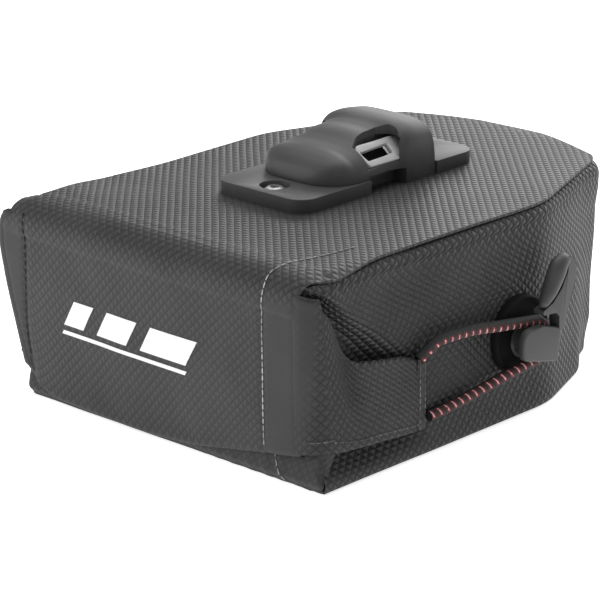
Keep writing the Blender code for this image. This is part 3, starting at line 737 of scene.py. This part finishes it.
def make_ear(side):
    """The closure's end: from the strip's edge, round the rear corner and flat on the side wall."""
    rows, rear_count, arc_count, side_count = 46, 8, 16, 52
    total = rear_count + arc_count + side_count
    right = side > 0
    hem = -38.7
    corner = CORNER_RIGHT if right else CORNER_LEFT

    def wall_x(z):
        if right:
            return 62.5 + 0.3 * float(smooth_step(30, 60, z))
        return float(along(WALL_LEFT, z))

    def plan(z, which):
        """Point and outward normal at column which for height z."""
        start = abs(float(at_height(corner, z)))
        wall = wall_x(z)
        radius = max(1.6, wall - start)
        back = float(rear_y(z)) - 0.68
        if which < rear_count:
            x = start - 4.5 * (1 - which / rear_count)
            return (x, back + 1.4 * (1 - which / rear_count) ** 2), (0, -1)
        which -= rear_count
        if which < arc_count:
            angle = math.pi / 2 * which / arc_count
            s, c = math.sin(angle), math.cos(angle)
            return (start + radius * s, back + radius * 0.9 * (1 - c)), (s, -c)
        t = (which - arc_count) / (side_count - 1)
        y = back + radius * 0.9 + (hem - back - radius * 0.9) * t
        inward = 0 if right else (wall - 63.4) * float(smooth_step(0.05, 0.75, t))
        bulge = 1.5 * math.sin(math.pi * min(1, t * 0.93)) ** 1.3 + 0.8 * t
        return (wall + bulge - inward, y), (1, 0)

    roll = 1.1
    grid = np.zeros((rows + 12, total, 3))
    for k in range(total):
        (_, y_mid), _ = plan(40.0, k)
        if k < rear_count + arc_count:
            t = max(0, k - rear_count) / arc_count
            top = 60.4 - 1.2 * t
            low = float(along(FOLD, side * plan(12.0, k)[0][0])) + 0.3
        else:
            top, low = float(along(EAR_TOP, y_mid)), float(along(EAR_BOTTOM, y_mid))
        column = []
        for j in range(rows):
            z = low + roll + (top - low - 2 * roll) * j / (rows - 1)
            (x, y), (nx, ny) = plan(z, k)
            column.append((x, y, z, nx, ny))

        def turned_in(point, sense, angles):
            out = []
            for degrees in angles:
                a = math.radians(degrees)
                inward = roll * (1 - math.cos(a))
                out.append((point[0] - point[3] * inward, point[1] - point[4] * inward,
                            point[2] + sense * roll * math.sin(a)))
            return out

        lower = turned_in(column[0], -1, (180, 150, 120, 90, 60, 30))
        upper = turned_in(column[-1], 1, (30, 60, 90, 120, 150, 180))
        for j, point in enumerate([*lower, *column, *upper]):
            grid[j, k] = (side * point[0], point[1], point[2])
    outward = np.zeros_like(grid)
    for k in range(total):
        _, (nx, ny) = plan(40.0, k)
        outward[:, k] = (side * nx, ny, 0)
    z, y = grid[..., 2], grid[..., 1]
    on_side = smooth_step(-81, -73, y)
    puff = ripple(grid, 15.0, 4.4 * side) * 0.5 + ripple(grid, 7.0, 8.8) * 0.16
    # A crease runs from the pleat towards the lower corner.
    crease = np.exp(-((((y + 67) - (z - 30) * -0.25) / 2.4) ** 2)) * smooth_step(16, 30, z)
    puff = puff - 0.9 * crease * on_side
    grid += outward * (puff * on_side)[..., None]
    relief = 0.1 + 1.0 * smooth_step(-81.6, -78.2, y)
    name = "ear_right" if right else "ear_left"
    EAR_HEMS[side] = grid[9, rear_count + 6:] + np.array([side * 0.15, 0, 0])
    return cloth(name, grid, ripstop, 0.75, relief=relief, flip=not right)


TAPE_Y = -39.2


def tape_x(t):
    return 63.9 - 1.2 * t - 0.5 * abs(2 * t - 1) ** 3


def make_ear_tape(side):
    """The woven tape that finishes the ear's free end."""
    grid = np.zeros((40, 12, 3))
    for j in range(40):
        z = 9.4 + 22.0 * j / 39
        for k in range(12):
            t = k / 11
            grid[j, k] = (side * tape_x(t), TAPE_Y + 4.9 * t, z - 0.5 * t)
    grid[..., 0] += side * ripple(grid, 6.0, 2.0) * 0.12
    return cloth("ear_tape_right" if side > 0 else "ear_tape_left", grid, ripstop, 0.9,
                 relief=np.full(grid.shape[:2], 0.8), flip=side < 0)


UNDER_SEAM = []


def make_under_layer():
    """The low rear wall below the closure, folded round both corners to a slanting edge."""
    rows, columns = 26, 170
    grid = np.zeros((rows, columns, 3))
    for j in range(rows):
        z = 0.35 + 12.8 * j / (rows - 1)
        tuck = 1.3 * (1 - float(smooth_step(0.3, 3.0, z)))
        back = -77.9 + 1.9 * float(smooth_step(3, 13, z)) + tuck
        reach = 0.3 + 0.4 * z
        corner = min(2.4, 0.85 * reach)
        path = rounded(
            [(61.3 - tuck * 0.7, back + reach), (60.9 - tuck, back), (-61.6 + tuck * 0.6, back - 1.3),
             (-62.0 + tuck * 0.6, back + 6 + reach)],
            [corner, 2.2],
            8,
        )
        grid[j, :, :2] = evenly(path, columns)
        grid[j, :, 2] = z
    x, z = grid[..., 0], grid[..., 2]
    pleat = 0.12 * np.sin(x * 0.9 + 3 * ripple(grid, 20.0))
    pleat = pleat * smooth_step(4, 26, x) * (1 - smooth_step(50, 57, x))
    grid[..., 1] += pleat + ripple(grid, 14.0, 6.1) * 0.2
    for row in grid[2:16]:
        goal = 47.0 - 0.5 * row[0, 2]
        y = float(np.interp(goal, row[::-1, 0], row[::-1, 1]))
        UNDER_SEAM.append((goal, y - 0.1, row[0, 2]))
    return cloth("under_layer", grid, ripstop, 0.7, relief=np.full(grid.shape[:2], 0.35), flip=True)


def make_bottom():
    """The bottom panel, turned up a little inside the side fabric."""
    path, normal = outline(160)
    rings = []
    for inset, z in ((3.0, 2.2), (3.2, 1.2), (5, 0.45), (9, 0.25), (20, 0.2), (45, 0.2), (57.5, 0.2)):
        ring = path - normal * min(inset, 9)
        ring = ring * (1 if inset <= 9 else 1 - (inset - 9) / 52)
        ring = np.maximum(ring, [-1e9, -76.4]) if inset <= 9 else ring
        rings.append(np.column_stack([ring, np.full(len(ring), z)]))
    grid = np.array(rings)
    uv = grid[..., :2].copy()
    relief = np.full(grid.shape[:2], 0.5)
    closed = np.concatenate([grid, grid[:, :1]], axis=1)
    uv = np.concatenate([uv, uv[:, :1]], axis=1)
    relief = np.concatenate([relief, relief[:, :1]], axis=1)
    return cloth("bottom_fabric", closed, ripstop, 0.6, uv=uv, relief=relief, flip=True)


side_fabric = make_side_wall()
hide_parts("side_wall", "top_seam_flange")
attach(side_fabric, "bag")


def stitch_tree():
    """Stitches of a given length, thickness and spacing along the edges of a mesh."""
    tree = bpy.data.node_groups.new("row_of_stitches", "GeometryNodeTree")
    tree.interface.new_socket("Path", in_out="INPUT", socket_type="NodeSocketGeometry")
    for name in ("Spacing", "Length", "Radius"):
        tree.interface.new_socket(name, in_out="INPUT", socket_type="NodeSocketFloat")
    tree.interface.new_socket("Thread", in_out="INPUT", socket_type="NodeSocketMaterial")
    tree.interface.new_socket("Stitches", in_out="OUTPUT", socket_type="NodeSocketGeometry")

    def node(kind, settings=None, **values):
        return add_node(tree, kind, settings, {key.replace("_", " "): v for key, v in values.items()})

    given = node("NodeGroupInput").outputs
    curve = node("GeometryNodeMeshToCurve", Mesh=given["Path"])
    points = node("GeometryNodeCurveToPoints", {"mode": "LENGTH"},
                  Curve=curve.outputs[0], Length=given["Spacing"]).outputs
    bead = node("GeometryNodeMeshUVSphere", Segments=8, Rings=6, Radius=0.5)
    size = node("ShaderNodeCombineXYZ", X=given["Length"], Y=given["Radius"], Z=given["Radius"])
    # The bead is 1 wide, so a radius counts twice.
    double = add_node(tree, "ShaderNodeVectorMath", {"operation": "MULTIPLY"},
                      {0: size.outputs[0], 1: (1.0, 2.0, 2.0)})
    turn = node("FunctionNodeAlignRotationToVector", {"axis": "X"}, Vector=points["Tangent"])
    placed = node("GeometryNodeInstanceOnPoints", Points=points["Points"],
                  Instance=bead.outputs["Mesh"], Rotation=turn.outputs[0], Scale=double.outputs[0])
    real = node("GeometryNodeRealizeInstances", Geometry=placed.outputs[0])
    done = node("GeometryNodeSetMaterial", Geometry=real.outputs[0], Material=given["Thread"])
    tree.links.new(done.outputs[0], node("NodeGroupOutput").inputs[0])
    return tree


def stitches(name, path, spacing, length, radius, finish):
    """A row of stitches along path, mm, as one plain mesh."""
    mesh = bpy.data.meshes.new(name)
    points = [tuple(np.asarray(p) * MM) for p in path]
    mesh.from_pydata(points, [(i, i + 1) for i in range(len(points) - 1)], [])
    obj = add_object(name, mesh)
    sewing = obj.modifiers.new("Stitches", "NODES")
    sewing.node_group = STITCHES
    wanted = {
        "Spacing": spacing * MM, "Length": length * MM, "Radius": radius * MM, "Thread": finish,
    }
    for item in STITCHES.interface.items_tree:
        if item.in_out == "INPUT" and item.name in wanted:
            sewing[item.identifier] = wanted[item.name]
    return frozen(obj, finish)


STITCHES = stitch_tree()


def on_strip(grid, wanted, rows):
    """Points on the strip's surface where x is wanted(y, z), over the given rows."""
    points = []
    for row in grid[rows[0]:rows[1]]:
        x = row[:, 0]
        y, z = row[len(row) // 2, 1:]
        for _ in range(5):
            goal = float(wanted(y, z))
            y, z = np.interp(goal, x, row[:, 1]), np.interp(goal, x, row[:, 2])
        points.append((goal, y, z))
    points = np.array(points)
    run = np.gradient(points, axis=0)
    out = np.column_stack([np.zeros(len(points)), run[:, 2], -run[:, 1]])
    return points + STRIP_THICKNESS * out / np.linalg.norm(out, axis=1)[:, None]


SEAM_ON_TOP = (
    (-84, 45.6), (-80, 45.8), (-76, 46.0), (-72, 46.3), (-67, 47.4), (-62, 48.6), (-56, 49.4),
    (-50, 49.8), (-40, 50.0),
)


def right_seam(y, z):
    if y > -79:
        return along(SEAM_ON_TOP, y)
    return at_height(STITCH_RIGHT, z)


def left_seam(y, z):
    return at_height(STITCH_LEFT, z) - 0.4


def make_seams(grid):
    lift = np.array([0, -0.15, 0.2])
    path = on_strip(grid, right_seam, (112, 214))
    right = stitches("seam_right", evenly(path + lift, 160), 2.2, 2.05, 0.2, thread)
    path = on_strip(grid, left_seam, (146, 208))
    left = stitches("seam_left", evenly(path + lift * 0.5, 120), 2.6, 2.0, 0.17, thread_dark)
    return right, left


def make_print(grid):
    """Three slanting bars and a thin rule, printed on the closure's face."""
    bm = bmesh.new()
    rows = grid[150:210]

    def on_face(x, z):
        row = int(np.argmin(np.abs(rows[:, 80, 2] - z)))
        near = rows[max(0, row - 1):row + 2]
        y = min(float(np.interp(x, line[:, 0], line[:, 1])) for line in near)
        return (x, y - STRIP_THICKNESS - 0.12, z)

    def patch(corners, across, up):
        (x0, z0), (x1, z1), (x2, z2), (x3, z3) = corners
        verts = []
        for t in (j / up for j in range(up + 1)):
            line = []
            for s in (i / across for i in range(across + 1)):
                x = (1 - t) * ((1 - s) * x0 + s * x1) + t * ((1 - s) * x3 + s * x2)
                z = (1 - t) * ((1 - s) * z0 + s * z1) + t * ((1 - s) * z3 + s * z2)
                line.append(bm.verts.new(Vector(on_face(x, z)) * MM))
            verts.append(line)
        for low, high in zip(verts, verts[1:]):
            for i in range(across):
                bm.faces.new((low[i], low[i + 1], high[i + 1], high[i]))

    for x, width in ((-40.0, 8.5), (-25.5, 13.0), (-6.5, 19.0)):
        patch(((x, 28.5), (x + width, 28.5), (x + width + 5.4, 37.0), (x + 5.4, 37.0)), 14, 8)
    patch(((-41.2, 25.4), (12.0, 25.4), (12.8, 26.6), (-40.4, 26.6)), 40, 2)
    obj = from_bmesh(bm, "reflective_bars")
    solid = obj.modifiers.new("Thickness", "SOLIDIFY")
    solid.thickness, solid.offset = 0.25 * MM, -1
    return frozen(obj, reflective)


strip, strip_grid = make_top_and_flap()
for piece in make_seams(strip_grid):
    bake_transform(piece)
bars = make_print(strip_grid)
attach(bars, "closure")
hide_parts("top_panel", "closure_flap")
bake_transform(strip)

for side, hand in SIDES:
    ear = make_ear(side)
    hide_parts(f"closure_ear_{hand}")
    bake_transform(ear)
    tape = make_ear_tape(side)
    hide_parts(f"ear_end_tape_{hand}")
    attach(tape, f"ear_{hand}")
    hem = stitches(f"ear_hem_{hand}", evenly(EAR_HEMS[side], 120), 1.9, 1.7, 0.14, thread_soft)
    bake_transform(hem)
    for number, t in enumerate((0.2, 0.85)):
        line = [(side * (tape_x(t) + 0.05), TAPE_Y + 4.9 * t, z - 0.5 * t)
                for z in np.linspace(10.2, 30.8, 40)]
        row = stitches(f"tape_stitches_{number}_{hand}", line, 1.9, 1.7, 0.16, thread_soft)
        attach(row, f"ear_{hand}")

under = make_under_layer()
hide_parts("mouth_lip")
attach(under, "bag")
seam = stitches("seam_under", evenly(UNDER_SEAM, 40), 2.2, 2.05, 0.17, thread)
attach(seam, "bag")

bottom = make_bottom()
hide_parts("bottom_panel")
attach(bottom, "bag")


# ---- mount -----------------------------------------------------------------------------------


def arch(width, height, power, count):
    """Evenly spaced points of a superellipse arch from right foot to left foot."""
    angle = np.linspace(0, math.pi, 400)
    c, s = np.cos(angle), np.sin(angle)
    x = np.sign(c) * np.abs(c) ** (2 / power) * width
    z = np.abs(s) ** (2 / power) * height
    return evenly(np.column_stack([x, z]), count)


def make_hood():
    """The shoe-shaped hood: low toe, hollow saddle, crest, open flanks and a collar with legs."""
    width = ((-25.2, 4.0), (-24.8, 7.4), (-23.6, 11.0), (-22, 13.4), (-19.5, 15.6), (-16, 17.0),
             (-12, 17.6), (-8, 17.6), (3.5, 16.9), (4.6, 17.0), (6.9, 18.1), (8.2, 18.3), (20.2, 18.0))
    height = ((-25.2, 0.8), (-24.8, 2.4), (-24.2, 3.9), (-22.8, 5.6), (-20.5, 7.2), (-17.5, 8.3),
              (-14.5, 8.9), (-11.5, 9.4), (-8.5, 10.2), (-5.5, 11.2), (-2, 12.1), (2, 12.8),
              (5, 13.4), (8, 14.2), (12, 14.6), (16, 14.3), (20.2, 13.6))
    stations = np.concatenate([
        np.linspace(-25.2, -23.5, 9)[:-1], np.linspace(-23.5, -8, 36)[:-1],
        np.linspace(-8, SADDLE_END, 36), np.linspace(COLLAR_START, 20.2, 30),
    ])
    rings = []
    for y in stations:
        power = 2.6 + 1.1 * float(smooth_step(4, 9, y)) + 1.3 * float(smooth_step(-14, -20, y))
        points = arch(float(along(width, y)), float(along(height, y)), power, 91)
        shear = float(smooth_step(4, 20, y))
        ring = [(x, y - 0.08 * z * shear, HOOD_BASE + z) for x, z in points]
        foot = LEG_FOOT if y >= COLLAR_START else HOOD_BASE - 0.02
        rings.append([(points[0][0], y, foot), *ring, (points[-1][0], y, foot)])
    hood = loft("mount_hood_shell", rings)
    mouth = rounded([(0, 60), (12.2, 60), (12.2, 76.6), (-12.2, 76.6), (-12.2, 60), (0, 60)],
                    [0.2, 2.5, 2.5, 0.2], 5)
    hood = cut(hood, slab("channel", mouth, -11.5, 24, 1))
    for side in (1, -1):
        plan = rounded(
            [(15, -9.6), (10.6, -9.6), (8.3, -5.4), (7.5, -1), (7.7, 4.2), (10, 7.4), (13.4, 7.6),
             (16.6, 5.4), (18.1, 4.4), (22, 4.3), (22, -9.6), (15, -9.6)],
            [1.0, 4.0, 5.0, 4.0, 2.6, 3.0, 4.0, 0.8, 0.4, 0.4], 5)
        # The left window keeps a thin roof, so that it does not show over the crest.
        window = slab("window", [(side * x, y) for x, y in plan], 72.4, 90 if side > 0 else 79.2, 2)
        hood = cut(hood, window)
        behind = [(side * x, y) for x, y in ((6.4, 3.8), (15.9, 3.8), (15.9, 12.3), (6.4, 12.3))]
        hood = cut(hood, slab("behind", behind, 71.2, 79.2, 2))
        low, high = sorted((side * 9, side * 26))
        cavity = [(-9.5, 60), (-9.5, 70.4), (6.92, 69.8), (6.92, 60)]
        hood = cut(hood, slab("cavity", cavity, low, high, 0))
    if len(hood.data.vertices) < 1000:
        raise RuntimeError("a cut emptied the hood")
    # The crest settles a little over the windows.
    for vertex in hood.data.vertices:
        above = max(0.0, vertex.co.z / MM - 78)
        vertex.co.z -= 0.16 * above * float(smooth_step(-6, 2, vertex.co.y / MM)) * MM
    return bevelled(hood, 0.4, plastic_hood, 3, 40, 45)


hood = make_hood()
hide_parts("mount_hood")
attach(hood, "bag")
plate = bevelled(tidy_copy("mount_plate"), 0.9, plastic, 3, 40, 40)
plate.name = "mount_plate_moulded"
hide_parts("mount_plate")
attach(plate, "bag")


def make_button(side, hand):
    """A grey button whose face leans in with the hood's flank, and its dark core, whose near-black
    finish is painted shade behind the slot.
    """
    # Along the leaning face: u towards the nose, v up the slope.
    foot, head = np.array([16.7, 73.0]), np.array([10.4, 78.3])
    slope = head - foot
    length = float(np.linalg.norm(slope))
    outer = rounded(
        [(0, 0), (-7.9, 0), (-8.8, length - 1.8), (-7.6, length), (11.8, length), (11.8, 0), (0, 0)],
        [1.2, 1.0, 1.6, 1.2, 0.8], 4)
    slot = rounded(
        [(0, 2.3), (-7.0, 2.1), (-8.1, 5.6), (4.6, 6.2), (4.6, 2.7), (0, 2.3)], [0.4] * 4, 3)

    def leaning(points, low, high, name):
        across, out = slope / length, np.array([slope[1], -slope[0]]) / length
        rings = []
        for level in (low, high):
            places = [(u, *(foot + across * v + out * level)) for u, v in points]
            rings.append([(side * x, u, z) for u, x, z in places])
        return loft(name, rings)

    face = leaning(outer, -1.6, 0.0, f"button_face_{hand}")
    face = cut(face, leaning(slot, -3, 2, "slot"))
    face = bevelled(face, 0.28, plastic_grey, 2, 40, 45)
    # The core is near-black as painted shade seen through the slot.
    core = leaning([(-7.6, 0.2), (5.9, 0.2), (5.9, length - 0.8), (-7.6, length - 0.8)], -4.6, -3.2,
                   f"button_core_{hand}")
    core = bevelled(core, 0.3, plastic_painted_shade, 2, 40, 45)
    return face, core


for side, hand in SIDES:
    low, high = sorted((side * 11.2, side * 12.1))
    # The latch guides are near-black as painted shade in the hood's cavity.
    guide = bevelled(slab(f"latch_guide_{hand}", [(-9.2, 64.9), (6.6, 64.9), (6.6, 72.2), (-9.2, 72.2)],
                          low, high, 0), 0.2, plastic_painted_shade, 1)
    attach(guide, "bag")
    face, core = make_button(side, hand)
    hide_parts(f"release_button_{hand}")
    for piece in (face, core):
        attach(piece, f"release_{hand}")


# ---- side hooks and cords --------------------------------------------------------------------


def turned(name, profile, centre, side, finish, steps=64):
    """A turned piece. profile runs from the axis at its outer end to the axis at its inner end."""
    rings = []
    for radius, height in profile:
        x, (y, z) = side * (centre[0] + height), centre[1:]
        turn = np.arange(steps) * math.tau / steps
        rings.append([(x, y + radius * math.cos(a), z + radius * math.sin(a)) for a in turn])
    return frozen(loft(name, rings), finish, 50)


def make_hook(side, hand):
    # The dish is near-black as painted shade round the hook.
    dish = turned(
        f"hook_dish_moulded_{hand}",
        [(0.2, 0.9), (9.9, 0.9), (10.8, 1.3), (11.3, 2.7), (11.7, 2.95), (12.1, 2.5), (12.2, 1.4),
         (12.2, -1.0), (0.2, -1.0)],
        (60.6, 8.4, 26.6), side, plastic_painted_shade,
    )
    neck_profile = [(0.2, 7.9), (4.0, 7.9), (4.5, 7.2), (4.7, 0.4), (5.6, 0.0), (0.2, 0.0)]
    neck = turned(f"hook_neck_{hand}", neck_profile, (61.8, 10.4, 24.5), side, plastic, 40)
    tab_outline = rounded(
        [(8, 31.2), (17.4, 28.8), (15.6, 18.2), (-0.8, 22.2), (-0.4, 31.6), (8, 31.2)],
        [1.6, 1.6, 3.4, 3.4], 7)
    tab = slab(f"hook_tab_{hand}", tab_outline, *sorted((side * 68.8, side * 71.4)), 0)
    tab = bevelled(tab, 0.9, plastic, 4, 40, 50)
    stem = rounded(
        [(17, 28.2), (18.3, 28.6), (19.5, 33.2), (21.2, 37.8), (22.7, 41.6), (23.3, 45.0), (22.6, 48.2),
         (20.4, 50.4), (17.4, 51.0), (19.4, 46.0), (16.8, 41.2), (12.6, 37.4), (8.0, 35.8), (8.2, 34.5),
         (14.2, 34.0), (15.6, 32.6), (15.8, 28.2), (17, 28.2)],
        [0.5, 3, 3, 3, 2, 2, 2, 1.4, 1.2, 3, 3, 0.6, 0.6, 2, 1, 0.5], 4)
    stem = slab(f"hook_stem_{hand}", stem, *sorted((side * 67.6, side * 71.4)), 0)
    stem = bevelled(stem, 1.1, plastic, 4, 30, 60)
    knots = [(69.4, 21.4, 47.4), (69.8, 19.2, 49.0), (70.2, 16.4, 48.0), (70.5, 14.0, 45.0),
             (70.6, 11.6, 41.4), (70.4, 9.6, 38.6), (70.2, 8.2, 36.9)]
    path = flowing([(side * x, y, z) for x, y, z in knots], 70)
    t = np.linspace(0, 1, 70)
    in_plane = along(((0, 1.0), (0.15, 2.1), (0.32, 2.95), (0.5, 2.9), (0.7, 2.4), (0.88, 1.8),
                      (0.96, 1.3), (1, 0.5)), t)
    across = along(((0, 1.4), (0.2, 2.3), (0.5, 2.7), (0.85, 2.1), (0.96, 1.4), (1, 0.5)), t)
    horn = tube(f"hook_horn_{hand}", path, in_plane, plastic, 24, wide=across / in_plane,
                up=(0, side * -0.6, 0.8))
    return dish, neck, tab, stem, horn


def cord_path(side):
    centre, reach = np.array([65.3, 10.4, 24.5]), 6.5
    upper = [(62.9, -38.2, 31.0), (63.5, -35.0, 33.4), (64.3, -30.4, 35.4), (64.7, -17.0, 34.9),
             (65.4, -4.4, 33.2)]
    lower = [(65.4, 0.0, 17.0), (64.2, -14.0, 14.6), (63.4, -28.0, 12.8), (62.9, -33.6, 12.4)]
    turn = []
    for degrees in range(80, -91, -17):
        a = math.radians(degrees)
        turn.append(tuple(centre + np.array([0.2, math.cos(a) * reach, math.sin(a) * reach])))
    return flowing([(side * x, y, z) for x, y, z in [*upper, *turn, *lower]], 190)


for side, hand in SIDES:
    for piece in make_hook(side, hand):
        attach(piece, "bag")
        if "dish" in piece.name:
            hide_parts(f"hook_dish_{hand}")
        if "horn" in piece.name:
            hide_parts(f"side_hook_{hand}")
    cord = tube(
        f"elastic_cord_braided_{hand}", cord_path(side), CORD_RADIUS, elastic, 18, up=(side, 0, 0))
    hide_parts(f"elastic_cord_{hand}")
    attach(cord, f"ear_{hand}")


# ---- finishes of the plain parts -------------------------------------------------------------

STEEL_PARTS = (
    "mount_screw", "mount_nut", "mount_washer", "mount_backing", "hood_screw", "hook_rivet",
    "hook_washer", "button_spring",
)

for name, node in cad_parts.items():
    if name.startswith(STEEL_PARTS):
        finish = steel
    elif "board" in name or "stiffener" in name:
        finish = plastic
    else:
        continue
    node.data.materials.clear()
    node.data.materials.append(finish)

# ---- studio ----------------------------------------------------------------------------------

floor_mesh = bpy.data.meshes.new("floor")
floor_mesh.from_pydata([(-6, -6, 0), (6, -6, 0), (6, 6, 0), (-6, 6, 0)], [], [(0, 1, 2, 3)])
floor = add_object("floor", floor_mesh, make_floor())


def area_light(name, place, target, size, power):
    lamp = bpy.data.lights.new(name, "AREA")
    lamp.energy = power
    lamp.shape = "RECTANGLE"
    lamp.size, lamp.size_y = size
    obj = bpy.data.objects.new(name, lamp)
    bpy.context.scene.collection.objects.link(obj)
    obj.location = place
    aim = Vector(target) - Vector(place)
    obj.rotation_euler = aim.to_track_quat("-Z", "Y").to_euler()


area_light("softbox_back", (-0.5, 1.6, 0.75), (0, 0, 0.03), (1.6, 0.9), 20)
area_light("softbox_top", (-0.2, 0.2, 1.4), (0, 0, 0.05), (1.2, 1.2), 11)
area_light("softbox_left", (-1.3, -1.3, 0.7), (0, 0, 0.03), (1.0, 0.8), 9)

world = bpy.data.worlds.new("studio")
bpy.context.scene.world = world
world.use_nodes = True
sky = world.node_tree
white = (1, 1, 1, 1)
seen = sky.nodes["Background"]
seen.inputs[0].default_value, seen.inputs[1].default_value = white, 1.0
# The backdrop is white, but lights the bag only half as much.
around = add_node(sky, "ShaderNodeBackground", None, {0: white, 1: 0.5})
ray = add_node(sky, "ShaderNodeLightPath")
both = add_node(sky, "ShaderNodeMixShader", None,
                {0: ray.outputs["Is Camera Ray"], 1: around.outputs[0], 2: seen.outputs[0]})
sky.links.new(both.outputs[0], sky.nodes["World Output"].inputs[0])
bpy.context.scene.view_settings.view_transform = "Standard"

azimuth, elevation, roll = math.radians(43.45), math.radians(18.71), math.radians(0.2)
back = Vector((
    math.sin(azimuth) * math.cos(elevation), -math.cos(azimuth) * math.cos(elevation),
    math.sin(elevation),
))
right = Vector((math.cos(azimuth), math.sin(azimuth), 0))
above = back.cross(right)
camera_data = bpy.data.cameras.new("camera")
camera_data.lens = 169.85
camera_data.sensor_width = 36
camera_data.clip_start, camera_data.clip_end = 0.05, 20
camera = bpy.data.objects.new("camera", camera_data)
bpy.context.scene.collection.objects.link(camera)
turn = Matrix((right, above, back)).transposed() @ Matrix.Rotation(-roll, 3, "Z")
camera.matrix_world = Matrix.Translation((0.5630, -0.61555, 0.3076)) @ turn.to_4x4()
bpy.context.scene.camera = camera
